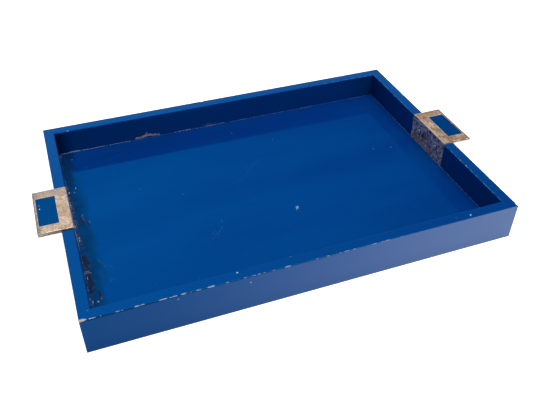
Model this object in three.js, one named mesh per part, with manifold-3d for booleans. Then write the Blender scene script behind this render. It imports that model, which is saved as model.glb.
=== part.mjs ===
// A lacquered wooden serving tray: four mitred rails around a grooved-in floor panel, with a plated metal
// angle handle screwed to the inside of each end rail. Millimetres, +Z up, X along the tray's length.
// The tray stands on its rails, and the origin is on the ground under its middle.
import * as THREE from "three";
import { mergeVertices } from "three/addons/utils/BufferGeometryUtils.js";
import Module from "manifold-3d";

const wasm = await Module();
wasm.setup();

// ---- Driving dimensions -------------------------------------------------------------------------------

const TRAY_LENGTH = 500; // over the end rails, without the handles
const TRAY_WIDTH = 350;
const WALL_HEIGHT = 47.7;
const WALL_THICKNESS = 13.5;
const FLOOR_HEIGHT = 13.3; // top of the floor panel above the rails' bottom edge
const PANEL_THICKNESS = 6;
const GROOVE_DEPTH = 5; // how far the floor panel is let into the rails

const HANDLE_WIDTH = 78;
const HANDLE_REACH = 25.3; // how far a handle stands out from the end rail
const PLATE_THICKNESS = 1.5; // where the handle lies on the rim
const GRIP_THICKNESS = 4; // of the part outside the tray, which holds the inlay
const FLANGE_THICKNESS = 1.1; // the leg that goes down the inside of the rail
const HOUSING_DEPTH = 1; // how far the leg is let into the rail
const BEND_RADIUS = 1.5;
const INLAY_LENGTH = 49.7; // along the handle's width
const INLAY_WIDTH = 21.4;
const INLAY_THICKNESS = 2;
const INLAY_SET_DOWN = 0.15; // the inlay's face below the metal around it
const INLAY_OFFSET = 0.7; // from the outside of the end rail to the inlay

const SCREW_SPACING = 40;
const SCREW_BELOW_RIM = 15;
const SCREW_LENGTH = 12;
const THREAD_RADIUS = 1.75;
const CORE_RADIUS = 1.25;
const THREAD_PITCH = 1.5;
const HEAD_RADIUS = 3.2;
const HEAD_HEIGHT = 1.6;
const RECESS_WIDTH = 0.8; // of each arm of the cross that a screwdriver fits
const RECESS_LENGTH = 3.4;

const SPLINE_WIDTH = 12; // across the mitre, half in each rail
const SPLINE_THICKNESS = 3;
const SPLINE_HEIGHT = 22;
const SPLINE_FROM_BOTTOM = 18;

const GLUE_LINE = 0.1; // left between pieces that are glued or bedded on each other
const SLIP = 0.3; // left around a piece that drops into a pocket, hole or groove

const ARRIS = { outerBottom: 0.5, outerTop: 0.8, innerTop: 1.2, innerBottom: 0.8 }; // radii of a rail's edges
const ARC_STEPS = 4;
const DOME_STEPS = 4;
const ROUND_STEPS = 20;

const GROOVE_TOP = FLOOR_HEIGHT + GLUE_LINE;
const GROOVE_BOTTOM = FLOOR_HEIGHT - PANEL_THICKNESS - GLUE_LINE;
const OVERSHOOT = 1; // of a cutting tool past the face that it starts from
const QUARTER = Math.PI / 2;

// ---- Materials ----------------------------------------------------------------------------------------

const material = (color, roughness, metalness) => new THREE.MeshStandardMaterial({ color, roughness, metalness });
const BLUE_LACQUER = material(0x06458c, 0.18, 0);
const RAW_PLYWOOD = material(0xc9a878, 0.8, 0);
const PLATED_BRASS = material(0xb79c80, 0.45, 0.9);
const ZINC_STEEL = material(0x9aa6b0, 0.35, 1);

// ---- Solids and booleans ------------------------------------------------------------------------------

// A closed geometry as a manifold-3d solid.
function solid(geometry) {
  const bare = new THREE.BufferGeometry().setAttribute("position", geometry.getAttribute("position"));
  bare.setIndex(geometry.index);
  const merged = mergeVertices(bare, 1e-4);
  const mesh = new wasm.Mesh({
    numProp: 3,
    vertProperties: merged.attributes.position.array,
    triVerts: new Uint32Array(merged.index.array),
  });
  return new wasm.Manifold(mesh);
}

// A manifold-3d solid as a geometry with flat faces.
function geometryOf(made) {
  const mesh = made.getMesh();
  const geometry = new THREE.BufferGeometry();
  geometry.setAttribute("position", new THREE.BufferAttribute(mesh.vertProperties, mesh.numProp));
  geometry.setIndex(new THREE.BufferAttribute(mesh.triVerts, 1));
  const flat = geometry.toNonIndexed();
  flat.computeVertexNormals();
  return flat;
}

const cut = (geometry, tools) =>
  geometryOf(tools.reduce((left, tool) => left.subtract(solid(tool)), solid(geometry)));

const boxAt = (x, y, z, [cx, cy, cz]) => new THREE.BoxGeometry(x, y, z).translate(cx, cy, cz);

// The two clearance holes of a handle's screws, as cylinders along X from x0 to x1.
function screwHoles(x0, x1, z) {
  return [-1, 1].map((side) => {
    const radius = THREAD_RADIUS + SLIP / 2;
    const hole = new THREE.CylinderGeometry(radius, radius, x1 - x0, ROUND_STEPS);
    return hole.rotateZ(QUARTER).translate((x0 + x1) / 2, (side * SCREW_SPACING) / 2, z);
  });
}

function named(name, geometry, finish) {
  const mesh = new THREE.Mesh(geometry, finish);
  mesh.name = name;
  return mesh;
}

// ---- Rails --------------------------------------------------------------------------------------------

// A rail's section: x runs inwards from the outer face, y upwards from the bottom edge.
function railSection() {
  const t = WALL_THICKNESS;
  const h = WALL_HEIGHT;
  const { outerBottom, outerTop, innerTop, innerBottom } = ARRIS;
  const shape = new THREE.Shape();
  shape.moveTo(outerBottom, 0);
  shape.lineTo(t - innerBottom, 0);
  shape.absarc(t - innerBottom, innerBottom, innerBottom, -QUARTER, 0, false);
  shape.lineTo(t, GROOVE_BOTTOM);
  shape.lineTo(t - GROOVE_DEPTH, GROOVE_BOTTOM);
  shape.lineTo(t - GROOVE_DEPTH, GROOVE_TOP);
  shape.lineTo(t, GROOVE_TOP);
  shape.lineTo(t, h - innerTop);
  shape.absarc(t - innerTop, h - innerTop, innerTop, 0, QUARTER, false);
  shape.lineTo(outerTop, h);
  shape.absarc(outerTop, h - outerTop, outerTop, QUARTER, Math.PI, false);
  shape.lineTo(0, outerBottom);
  shape.absarc(outerBottom, outerBottom, outerBottom, Math.PI, 3 * QUARTER, false);
  return shape;
}

// A rail lies along X with its outer face towards -Y, and is then turned about the tray's middle to its side.
const SIDES = [
  { side: "front", corner: "front_right", length: TRAY_LENGTH, across: TRAY_WIDTH },
  { side: "right", corner: "rear_right", length: TRAY_WIDTH, across: TRAY_LENGTH },
  { side: "rear", corner: "rear_left", length: TRAY_LENGTH, across: TRAY_WIDTH },
  { side: "left", corner: "front_left", length: TRAY_WIDTH, across: TRAY_LENGTH },
];

// The plywood tongue that crosses the mitre at one end of a rail, square to it.
function tongue(end, { length, across }, slack) {
  const blank = new THREE.BoxGeometry(SPLINE_WIDTH + slack, SPLINE_THICKNESS + slack, SPLINE_HEIGHT + slack);
  const x = end * (length - WALL_THICKNESS) * 0.5;
  const y = (WALL_THICKNESS - across) * 0.5;
  return blank.rotateZ(end * QUARTER * 0.5).translate(x, y, SPLINE_FROM_BOTTOM + SPLINE_HEIGHT / 2);
}

// A mitred rail: its section is carried from end to end, and each end is sheared to 45 degrees.
function rail(place, holes) {
  const made = new THREE.ExtrudeGeometry(railSection(), { depth: 1, bevelEnabled: false, curveSegments: ARC_STEPS });
  const p = made.getAttribute("position");
  for (let i = 0; i < p.count; i++) {
    const inwards = p.getX(i);
    const end = p.getZ(i) < 0.5 ? -1 : 1;
    p.setXYZ(i, end * (place.length / 2 - inwards - GLUE_LINE), inwards - place.across / 2, p.getY(i));
  }
  const slots = [-1, 1].map((end) => tongue(end, place, 2 * GLUE_LINE));
  return cut(made, [...slots, ...holes]);
}

// The shallow housing that a handle's leg drops into, open to the groove below and to the rim above.
function legHousing() {
  const bottom = GROOVE_TOP - OVERSHOOT;
  const top = WALL_HEIGHT + OVERSHOOT;
  const face = WALL_THICKNESS - TRAY_LENGTH / 2;
  const middle = [0, face + (OVERSHOOT - HOUSING_DEPTH) / 2, (bottom + top) / 2];
  return boxAt(HANDLE_WIDTH + 2 * GLUE_LINE, HOUSING_DEPTH + OVERSHOOT, top - bottom, middle);
}

// The pilot holes of an end rail, bored from its inner face.
function pilotHoles() {
  const face = WALL_THICKNESS - TRAY_LENGTH / 2;
  const bored = screwHoles(face - SCREW_LENGTH, face + OVERSHOOT, WALL_HEIGHT - SCREW_BELOW_RIM);
  return bored.map((hole) => hole.rotateZ(QUARTER));
}

function frame() {
  const group = new THREE.Group();
  SIDES.forEach((place, quarters) => {
    const holes = place.length === TRAY_WIDTH ? [legHousing(), ...pilotHoles()] : [];
    const side = new THREE.Group();
    side.add(named(`${place.side}_rail`, rail(place, holes), BLUE_LACQUER));
    side.add(named(`corner_spline_${place.corner}`, tongue(1, place, 0), RAW_PLYWOOD));
    side.rotation.z = quarters * QUARTER;
    group.add(side);
  });
  return group;
}

// ---- Floor --------------------------------------------------------------------------------------------

function floorPanel() {
  const rebate = 2 * (WALL_THICKNESS - GROOVE_DEPTH + SLIP);
  const middle = FLOOR_HEIGHT - PANEL_THICKNESS / 2;
  const board = boxAt(TRAY_LENGTH - rebate, TRAY_WIDTH - rebate, PANEL_THICKNESS, [0, 0, middle]);
  return named("floor_panel", board, BLUE_LACQUER);
}

// ---- Handles ------------------------------------------------------------------------------------------
// A handle is made at the right end: x runs outwards from the end rail's inner face and z up from the rim.

const PLATE_TOP = GLUE_LINE + PLATE_THICKNESS;
const GRIP_END = WALL_THICKNESS + HANDLE_REACH;
const INLAY_START = WALL_THICKNESS + INLAY_OFFSET;
const FLANGE_BACK = HOUSING_DEPTH - GLUE_LINE;
const FLANGE_FACE = FLANGE_BACK - FLANGE_THICKNESS;
const POCKET_DEPTH = INLAY_SET_DOWN + INLAY_THICKNESS + GLUE_LINE;

// The handle seen from the front: the flange, the bend, the plate over the rim and the grip with its step.
function handleOutline() {
  const flangeEnd = FLOOR_HEIGHT - WALL_HEIGHT + SLIP;
  const shape = new THREE.Shape();
  shape.moveTo(FLANGE_FACE, flangeEnd);
  shape.lineTo(FLANGE_BACK, flangeEnd);
  shape.lineTo(FLANGE_BACK, GLUE_LINE);
  shape.lineTo(WALL_THICKNESS + GLUE_LINE, GLUE_LINE);
  shape.lineTo(WALL_THICKNESS + GLUE_LINE, PLATE_TOP - GRIP_THICKNESS);
  shape.lineTo(GRIP_END, PLATE_TOP - GRIP_THICKNESS);
  shape.lineTo(GRIP_END, PLATE_TOP);
  shape.lineTo(FLANGE_FACE + BEND_RADIUS, PLATE_TOP);
  shape.absarc(FLANGE_FACE + BEND_RADIUS, PLATE_TOP - BEND_RADIUS, BEND_RADIUS, QUARTER, Math.PI, false);
  return shape;
}

function handleBracket() {
  const bent = new THREE.ExtrudeGeometry(handleOutline(), {
    depth: HANDLE_WIDTH,
    bevelEnabled: false,
    curveSegments: ARC_STEPS,
  });
  bent.rotateX(QUARTER).translate(0, HANDLE_WIDTH / 2, 0);
  const pocket = boxAt(INLAY_WIDTH + SLIP, INLAY_LENGTH + SLIP, POCKET_DEPTH + OVERSHOOT, [
    INLAY_START + INLAY_WIDTH / 2,
    0,
    PLATE_TOP - POCKET_DEPTH + (POCKET_DEPTH + OVERSHOOT) / 2,
  ]);
  return cut(bent, [pocket, ...screwHoles(FLANGE_FACE - OVERSHOOT, OVERSHOOT, -SCREW_BELOW_RIM)]);
}

function handleInlay() {
  const middle = PLATE_TOP - INLAY_SET_DOWN - INLAY_THICKNESS / 2;
  return boxAt(INLAY_WIDTH, INLAY_LENGTH, INLAY_THICKNESS, [INLAY_START + INLAY_WIDTH / 2, 0, middle]);
}

// A pan-head wood screw along Y: the head stands towards -Y from y 0, and ring threads run to the tip.
function woodScrew() {
  const profile = [new THREE.Vector2(0, -HEAD_HEIGHT)];
  for (let step = DOME_STEPS - 1; step >= 0; step--) {
    const turn = (step / DOME_STEPS) * QUARTER;
    profile.push(new THREE.Vector2(HEAD_RADIUS * Math.cos(turn), -HEAD_HEIGHT * Math.sin(turn)));
  }
  for (let y = 0; y < SCREW_LENGTH - THREAD_PITCH; y += THREAD_PITCH) {
    profile.push(new THREE.Vector2(THREAD_RADIUS, y));
    profile.push(new THREE.Vector2(CORE_RADIUS, y + THREAD_PITCH / 2));
  }
  profile.push(new THREE.Vector2(0, SCREW_LENGTH));
  const turned = new THREE.LatheGeometry(profile, ROUND_STEPS);
  const recess = [
    boxAt(RECESS_LENGTH, HEAD_HEIGHT, RECESS_WIDTH, [0, -HEAD_HEIGHT, 0]),
    boxAt(RECESS_WIDTH, HEAD_HEIGHT, RECESS_LENGTH, [0, -HEAD_HEIGHT, 0]),
  ];
  return cut(turned, recess);
}

// One handle with its inlay and screws, on the right end, or turned half round to the left end.
function handle(side) {
  const outwards = side === "right" ? 1 : -1;
  const group = new THREE.Group();
  group.add(named(`${side}_handle_bracket`, handleBracket(), PLATED_BRASS));
  group.add(named(`${side}_handle_inlay`, handleInlay(), BLUE_LACQUER));
  for (const end of ["front", "rear"]) {
    const towards = end === "rear" ? outwards : -outwards;
    const screw = named(`${side}_handle_screw_${end}`, woodScrew(), ZINC_STEEL);
    screw.rotation.z = -QUARTER;
    screw.position.set(FLANGE_FACE - GLUE_LINE, (towards * SCREW_SPACING) / 2, -SCREW_BELOW_RIM);
    group.add(screw);
  }
  group.position.set(outwards * (TRAY_LENGTH / 2 - WALL_THICKNESS), 0, WALL_HEIGHT);
  group.rotation.z = side === "right" ? 0 : Math.PI;
  return group;
}

// ---- The tray -----------------------------------------------------------------------------------------

const tray = new THREE.Group();
tray.add(frame(), floorPanel(), handle("right"), handle("left"));
export default tray;
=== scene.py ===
# %% Load the frame
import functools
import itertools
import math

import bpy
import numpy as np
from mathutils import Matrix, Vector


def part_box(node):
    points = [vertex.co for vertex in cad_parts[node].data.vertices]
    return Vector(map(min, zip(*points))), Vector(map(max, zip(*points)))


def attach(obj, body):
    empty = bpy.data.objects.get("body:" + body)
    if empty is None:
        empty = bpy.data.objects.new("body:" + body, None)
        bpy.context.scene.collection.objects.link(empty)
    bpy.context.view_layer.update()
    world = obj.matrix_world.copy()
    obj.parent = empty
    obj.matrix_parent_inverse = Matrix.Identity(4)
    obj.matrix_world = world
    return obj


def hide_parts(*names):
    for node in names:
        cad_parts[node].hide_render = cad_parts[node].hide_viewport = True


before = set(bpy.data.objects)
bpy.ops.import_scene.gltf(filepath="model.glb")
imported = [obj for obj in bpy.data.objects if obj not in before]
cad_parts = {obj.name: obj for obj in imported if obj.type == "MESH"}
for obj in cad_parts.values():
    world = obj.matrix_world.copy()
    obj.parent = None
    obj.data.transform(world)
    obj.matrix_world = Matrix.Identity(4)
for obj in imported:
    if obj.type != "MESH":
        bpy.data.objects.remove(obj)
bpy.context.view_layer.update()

# %% [markdown]
# # A lacquered serving tray
# The real tray is four wooden rails mitred at the corners, a thin board let into a groove round their
# inside, and a plated metal angle at each end that serves as a handle. It has been used for decades, so
# most of the work here is wear: chips through the lacquer to the wood, scratches and dust on the floor,
# and tarnish on the metal. Everything is in metres. X runs along the tray, Y towards its rear rail and Z
# up.

MM = 0.001

left_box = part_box("left_rail")
right_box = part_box("right_rail")
front_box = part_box("front_rail")
rear_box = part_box("rear_rail")
panel_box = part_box("floor_panel")
bracket_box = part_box("right_handle_bracket")
inlay_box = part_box("right_handle_inlay")

TRAY_LENGTH = right_box[1].x - left_box[0].x
TRAY_WIDTH = rear_box[1].y - front_box[0].y
RIM_Z = front_box[1].z
WALL = front_box[1].y - front_box[0].y
FLOOR_Z = panel_box[1].z
PANEL_BOTTOM_Z = panel_box[0].z
PLATE_TOP_Z = bracket_box[1].z
INSIDE_X = TRAY_LENGTH / 2 - WALL  # where an end rail's inner face stands
INSIDE_Y = TRAY_WIDTH / 2 - WALL
print(f"tray {TRAY_LENGTH:.3f} x {TRAY_WIDTH:.3f} m, rim at {RIM_Z:.4f} m, rails {WALL:.4f} m thick")

# %% [markdown]
# ## Where the camera stands
# The tray is looked down on from its left front corner, from a little over 0.8 m away, which is how a
# seated person sees it on a low table. A camera can be aimed with a Track To constraint, but here its
# three axes are worked out directly, because that also allows the slight tilt of a camera held by hand.

# %% The camera
CAMERA_AT = Vector((-0.2228, -0.6151, 0.5282))
CAMERA_TURN = math.radians(20.593)  # clockwise from the tray's +Y
CAMERA_DROP = math.radians(39.575)  # below the horizon
CAMERA_TILT = math.radians(0.338)
CAMERA_LENS = 43.47  # mm, on a sensor 36 mm wide


def make_camera():
    """A camera whose three axes are worked out from its turn, drop and tilt."""
    level = math.cos(CAMERA_DROP)
    ahead = Vector((math.sin(CAMERA_TURN) * level, math.cos(CAMERA_TURN) * level, -math.sin(CAMERA_DROP)))
    flat_right = ahead.cross(Vector((0, 0, 1))).normalized()
    right = math.cos(CAMERA_TILT) * flat_right + math.sin(CAMERA_TILT) * flat_right.cross(ahead)
    up = right.cross(ahead)
    data = bpy.data.cameras.new("camera")
    data.sensor_width = 36
    data.lens = CAMERA_LENS
    data.clip_start = 0.01
    camera = bpy.data.objects.new("camera", data)
    camera.matrix_world = Matrix.Translation(CAMERA_AT) @ Matrix((right, up, -ahead)).transposed().to_4x4()
    bpy.context.scene.collection.objects.link(camera)
    bpy.context.scene.camera = camera
    return camera


camera = make_camera()
print(f"camera {(CAMERA_AT - Vector((0, 0, RIM_Z))).length:.2f} m from the middle of the tray")

# %% [markdown]
# ## Smooth noise for the meshes
# Worn edges and pits need a random but smooth change over a surface. Blender's shader noise can't move a
# mesh's points, so this is a small copy of the idea: every whole-number cell of space gets a fixed random
# number, and the points between are blended. It uses no random state, so it gives the same result on each
# run.

# %% Noise over points


def cell_values(cells, seed):
    """A repeatable number from 0 to 1 for each whole-number cell."""
    mixed = cells @ np.array([73856093, 19349663, 83492791], np.int64) + seed * 374761393
    mixed = (mixed ^ (mixed >> 13)) * 1274126177
    return ((mixed ^ (mixed >> 16)) & 0xFFFF) / 0xFFFF


def lumps(points, size, seed):
    """Smooth noise from -1 to 1 whose bumps are about size across."""
    at = points / size
    cell = np.floor(at).astype(np.int64)
    part = at - cell
    ease = part * part * (3 - 2 * part)
    total = 0
    for corner in itertools.product((0, 1), repeat=3):
        share = np.where(np.array(corner) == 1, ease, 1 - ease).prod(axis=-1)
        total = total + share * cell_values(cell + np.array(corner), seed)
    return 2 * total - 1


def rough_lumps(points, size, seed, octaves=3):
    """Noise with finer bumps on coarser ones, from about -1 to 1."""
    layers = [lumps(points, size / 2**k, seed + 7 * k) / 2**k for k in range(octaves)]
    return sum(layers) / sum(1 / 2**k for k in range(octaves))


def step(value, low, high):
    """0 below low, 1 above high and smooth between."""
    t = np.clip((value - low) / (high - low), 0, 1)
    return t * t * (3 - 2 * t)


# %% [markdown]
# ## One builder for every long solid
# A rail, the floor board, a handle and its inlay are all one outline carried along a line. Blender could
# extrude a curve, but then each point's place along the piece is lost, and the wear needs it. So the
# outline is repeated as a row of rings, neighbouring rings are joined by four-sided faces, and the two
# ends are closed.

# %% Skin over a row of rings


def skin(name, rings, values=None, sharp=35):
    """A closed mesh over rings, an array of ring x point x 3. values holds numbers, one per point."""
    count, around = rings.shape[:2]
    points = rings.reshape(-1, 3)
    here = np.arange(count - 1)[:, None] * around + np.arange(around)[None, :]
    after = np.arange(count - 1)[:, None] * around + (np.arange(around)[None, :] + 1) % around
    quads = np.stack([here, after, after + around, here + around], -1).reshape(-1, 4)
    crossed = np.cross(points[quads[:, 1]], points[quads[:, 2]])
    volume = np.einsum("ij,ij->i", points[quads[:, 0]], crossed).sum()
    caps = [list(range(around))[::-1], list(range((count - 1) * around, count * around))]
    if volume < 0:
        quads = quads[:, ::-1]
        caps = [cap[::-1] for cap in caps]
    mesh = bpy.data.meshes.new(name)
    mesh.from_pydata(points.tolist(), [], quads.tolist() + caps)
    mesh.shade_smooth()
    mesh.set_sharp_from_angle(angle=math.radians(sharp))
    for key, numbers in (values or {}).items():
        stored = mesh.attributes.new(key, "FLOAT", "POINT").data
        stored.foreach_set("value", numbers.ravel().astype(np.float32))
    piece = bpy.data.objects.new(name, mesh)
    bpy.context.scene.collection.objects.link(piece)
    return piece


def finish_piece(piece, material, nodes):
    """Gives a piece its material, and says which CAD nodes it stands for."""
    piece.data.materials.append(material)
    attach(piece, "root")
    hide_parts(*nodes)
    print(f"{piece.name}: {len(piece.data.polygons)} faces")
    return piece


def arc(centre, radius, start, end, count):
    """Points of an arc in an outline, with both ends. Angles are in quarter turns."""
    turns = np.linspace(start, end, count) * math.pi / 2
    return [(centre[0] + radius * math.cos(a), centre[1] + radius * math.sin(a)) for a in turns]


def inward_normals(outline, turn):
    """Unit vectors across an outline into the solid. turn is 1 if it runs anticlockwise and -1 if not."""
    edge = np.roll(outline, -1, 0) - np.roll(outline, 1, 0)
    inside = turn * np.stack([-edge[:, 1], edge[:, 0]], -1)
    return inside / np.maximum(np.linalg.norm(inside, axis=1, keepdims=True), 1e-9)


def spaced(start, end, pitch):
    """Evenly spaced numbers from start to end, both included."""
    return np.linspace(start, end, max(2, round(abs(end - start) / pitch) + 1))


# %% [markdown]
# ## Helpers for shader nodes
# Materials are node trees. These helpers add a node and connect it in one line, so that a material's
# recipe reads from top to bottom.

# %% Node helpers


def tree_of(*values):
    """The node tree of the first socket among the values."""
    return next(v.id_data for v in values if isinstance(v, bpy.types.NodeSocket))


def feed(socket, value):
    """Links value to the socket if it is an output, or else sets it."""
    if isinstance(value, bpy.types.NodeSocket):
        socket.id_data.links.new(value, socket)
    else:
        socket.default_value = value


def add(tree, kind, inputs=None, **settings):
    """A new node. inputs gives sockets, by name or number, a value or a link."""
    made = tree.nodes.new(kind)
    for key, value in settings.items():
        setattr(made, key, value)
    for key, value in (inputs or {}).items():
        feed(made.inputs[key], value)
    return made


def calc(operation, a, b=0.0):
    """One sum of two numbers."""
    return add(tree_of(a, b), "ShaderNodeMath", {0: a, 1: b}, operation=operation).outputs[0]


def times(*numbers):
    """The numbers multiplied together."""
    return functools.reduce(functools.partial(calc, "MULTIPLY"), numbers)


def most(*numbers):
    """The largest of the numbers."""
    return functools.reduce(functools.partial(calc, "MAXIMUM"), numbers)


def inverse(share):
    """What is left of 1."""
    return calc("SUBTRACT", 1.0, share)


def vector(operation, a, b=(0, 0, 0), scale=1.0):
    """One sum of two vectors, or a vector scaled. A dot product or a length gives a number."""
    inputs = {0: a, "Scale": scale} if operation == "SCALE" else {0: a, 1: b}
    made = add(tree_of(*inputs.values()), "ShaderNodeVectorMath", inputs, operation=operation)
    return made.outputs["Value" if operation in ("DOT_PRODUCT", "LENGTH") else "Vector"]


def between(value, low, high, to_low=0.0, to_high=1.0):
    """Maps low..high smoothly to to_low..to_high."""
    inputs = {"Value": value, "From Min": low, "From Max": high, "To Min": to_low, "To Max": to_high}
    made = add(tree_of(value), "ShaderNodeMapRange", inputs, interpolation_type="SMOOTHSTEP")
    return made.outputs["Result"]


def blend(share, a, b):
    """A colour between a and b."""
    return add(tree_of(share, a, b), "ShaderNodeMix", {0: share, 6: a, 7: b}, data_type="RGBA").outputs[2]


def cover(paint, share, colour, strength=1.0):
    """The paint with another colour over it."""
    return blend(share if strength == 1 else times(share, strength), paint, colour)


def fuzz(place, scale, detail=3.0, stretch=None, distortion=0.0):
    """Noise from 0 to 1 over the surface. scale is bumps per metre."""
    tree = tree_of(place)
    if stretch:
        place = add(tree, "ShaderNodeMapping", {"Vector": place, "Scale": stretch}).outputs[0]
    inputs = {"Vector": place, "Scale": scale, "Detail": detail, "Distortion": distortion}
    return add(tree, "ShaderNodeTexNoise", inputs).outputs["Fac"]


def split(place):
    """The x, y and z of a place."""
    return add(tree_of(place), "ShaderNodeSeparateXYZ", {0: place}).outputs


def from_mesh(place, *keys):
    """Numbers that were stored in the mesh, in the same tree as place."""
    tree = tree_of(place)
    return [add(tree, "ShaderNodeAttribute", attribute_name=key).outputs["Fac"] for key in keys]


def relief(shader, height, strength, distance):
    """A fine bump in a shader's surface."""
    inputs = {"Height": height, "Strength": strength, "Distance": distance}
    feed(shader["Normal"], add(tree_of(height), "ShaderNodeBump", inputs).outputs[0])


def rgb(red, green, blue):
    """A colour given in the usual 0 to 255 numbers, as Blender's linear ones."""
    levels = [c / 255 for c in (red, green, blue)]
    return (*[c / 12.92 if c < 0.04045 else ((c + 0.055) / 1.055) ** 2.4 for c in levels], 1.0)


def new_group(name, inputs, outputs):
    """An empty shader node group. inputs and outputs give each socket's type, or a number as its default."""
    tree = bpy.data.node_groups.new(name, "ShaderNodeTree")
    for direction, sockets in (("INPUT", inputs), ("OUTPUT", outputs)):
        for label, kind in sockets.items():
            number = not isinstance(kind, str)
            socket_type = "NodeSocketFloat" if number else f"NodeSocket{kind}"
            socket = tree.interface.new_socket(label, in_out=direction, socket_type=socket_type)
            if number:
                socket.default_value = kind
    return tree, tree.nodes.new("NodeGroupInput").outputs, tree.nodes.new("NodeGroupOutput").inputs


def use(group, inputs):
    """Places a node group where its inputs come from. Returns its outputs."""
    made = add(tree_of(*inputs.values()), "ShaderNodeGroup", node_tree=group)
    for key, value in inputs.items():
        feed(made.inputs[key], value)
    return made.outputs


def new_material(name):
    """A material with a Principled shader. Returns it, the shader's inputs and the place in the tray."""
    material = bpy.data.materials.new(name)
    material.use_nodes = True
    tree = material.node_tree
    shader = next(n for n in tree.nodes if n.type == "BSDF_PRINCIPLED")
    place = tree.nodes.new("ShaderNodeTexCoord").outputs["Object"]
    return material, shader.inputs, place


# %% [markdown]
# ## Shared effects
# Dust, scratches, marks and bare wood turn up on more than one material, so each is a node group that is
# built once. A group only puts out masks, colours and heights. The shader itself stays in the material.

# %% Group: dust specks


def dust_group():
    """Sparse little specks. Only some of the cells of a Voronoi pattern hold one."""
    inputs = {"Place": "Vector", "Per Metre": 200.0, "Rarity": 0.8, "Size": 0.1}
    tree, given, out = new_group("dust specks", inputs, {"Mask": "Float"})
    scaled = {"Vector": given["Place"], "Scale": given["Per Metre"]}
    cells = add(tree, "ShaderNodeTexVoronoi", scaled).outputs
    pick = add(tree, "ShaderNodeSeparateColor", {0: cells["Color"]}).outputs
    size = times(given["Size"], calc("ADD", 0.4, pick[1]))
    speck = between(calc("DIVIDE", cells["Distance"], size), 1.0, 0.6)
    feed(out["Mask"], times(calc("GREATER_THAN", pick[0], given["Rarity"]), speck))
    return tree


DUST = dust_group()


def dust(place, per_metre, rarity, size):
    """A mask of dust specks."""
    return use(DUST, {"Place": place, "Per Metre": per_metre, "Rarity": rarity, "Size": size})["Mask"]


# %% Group: a place that wanders


def wander_group():
    """Shifts a place by a little smooth noise, so that what is drawn there isn't ruler-straight."""
    inputs = {"Place": "Vector", "Per Metre": 90.0, "Reach": 0.004}
    tree, given, out = new_group("wander", inputs, {"Place": "Vector"})
    scaled = {"Vector": given["Place"], "Scale": given["Per Metre"], "Detail": 2.0}
    noise = add(tree, "ShaderNodeTexNoise", scaled)
    shift = vector("SUBTRACT", noise.outputs["Color"], (0.5, 0.5, 0.5))
    feed(out["Place"], vector("ADD", given["Place"], vector("SCALE", shift, scale=given["Reach"])))
    return tree


WANDER = wander_group()

# %% Group: one mark with a place of its own


def stroke_group():
    """A mark along the line from Start to End, ragged, and broken where Grit is well under Gaps."""
    inputs = {"Place": "Vector", "Grit": 0.5, "Start": "Vector", "End": "Vector", "Width": 0.001, "Gaps": 0.5}
    tree, given, out = new_group("stroke", inputs, {"Mask": "Float"})
    along = vector("SUBTRACT", given["End"], given["Start"])
    off = vector("SUBTRACT", given["Place"], given["Start"])
    run = calc("DIVIDE", vector("DOT_PRODUCT", off, along), vector("DOT_PRODUCT", along, along))
    run = calc("MINIMUM", most(run, 0.0), 1.0)
    away = vector("LENGTH", vector("SUBTRACT", off, vector("SCALE", along, scale=run)))
    close = inverse(calc("DIVIDE", away, given["Width"]))
    ragged = times(calc("SUBTRACT", given["Grit"], given["Gaps"]), 2.5)
    feed(out["Mask"], times(between(calc("ADD", close, ragged), 0.3, 0.6), between(close, 0.0, 0.3)))
    return tree


STROKE = stroke_group()


def marks(place, strokes, wander=2.0, grit_scale=700.0):
    """The mask of several strokes together. Each is (start, end, width, gaps), in millimetres."""
    moved = use(WANDER, {"Place": place, "Reach": 2 * wander * MM})["Place"]
    shared = {"Place": moved, "Grit": fuzz(place, grit_scale)}
    masks = []
    for start, end, width, gaps in strokes:
        line = {"Start": [c * MM for c in start], "End": [c * MM for c in end]}
        masks.append(use(STROKE, {**shared, **line, "Width": width * MM, "Gaps": gaps})["Mask"])
    return most(*masks)


FLOOR_MARKS_SHIFT = (0.5, 1.3)  # in millimetres, where the floor's marks are counted from
REAR_FACE = INSIDE_Y / MM


def level(height, strokes, shift=(0, 0)):
    """Turns (x, y, x, y, width, gaps) into strokes at one height, shifted a little. height is in metres."""
    high, (dx, dy) = height / MM, shift
    return [((x + dx, y + dy, high), (x2 + dx, y2 + dy, high), *rest) for x, y, x2, y2, *rest in strokes]


def on_floor(*strokes):
    """Strokes on the floor."""
    return level(FLOOR_Z, strokes, FLOOR_MARKS_SHIFT)


def on_plate(*strokes):
    """Strokes on top of a handle."""
    return level(PLATE_TOP_Z, strokes)


def on_rim(*strokes):
    """Strokes on top of a rail."""
    return level(RIM_Z - 0.1 * MM, strokes)


def on_rear(*strokes):
    """Turns (x, z, x, z, width, gaps) into strokes on the rear rail's inner face."""
    return [((x, REAR_FACE, z), (x2, REAR_FACE, z2), *rest) for x, z, x2, z2, *rest in strokes]


# %% Group: bare wood under the lacquer


def bare_wood_group():
    """Light hardwood with its grain along X."""
    tree, given, out = new_group("bare wood", {"Place": "Vector"}, {"Color": "Color"})
    grain = fuzz(given["Place"], 500.0, 4.0, stretch=(0.12, 1.0, 1.0))
    blotch = fuzz(given["Place"], 160.0, 2.0)
    tan = blend(grain, rgb(150, 96, 70), rgb(232, 184, 150))
    feed(out["Color"], cover(tan, between(blotch, 0.45, 0.75), rgb(226, 205, 190)))
    return tree


BARE_WOOD = bare_wood_group()

# %% Group: lacquer that has come away


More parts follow.
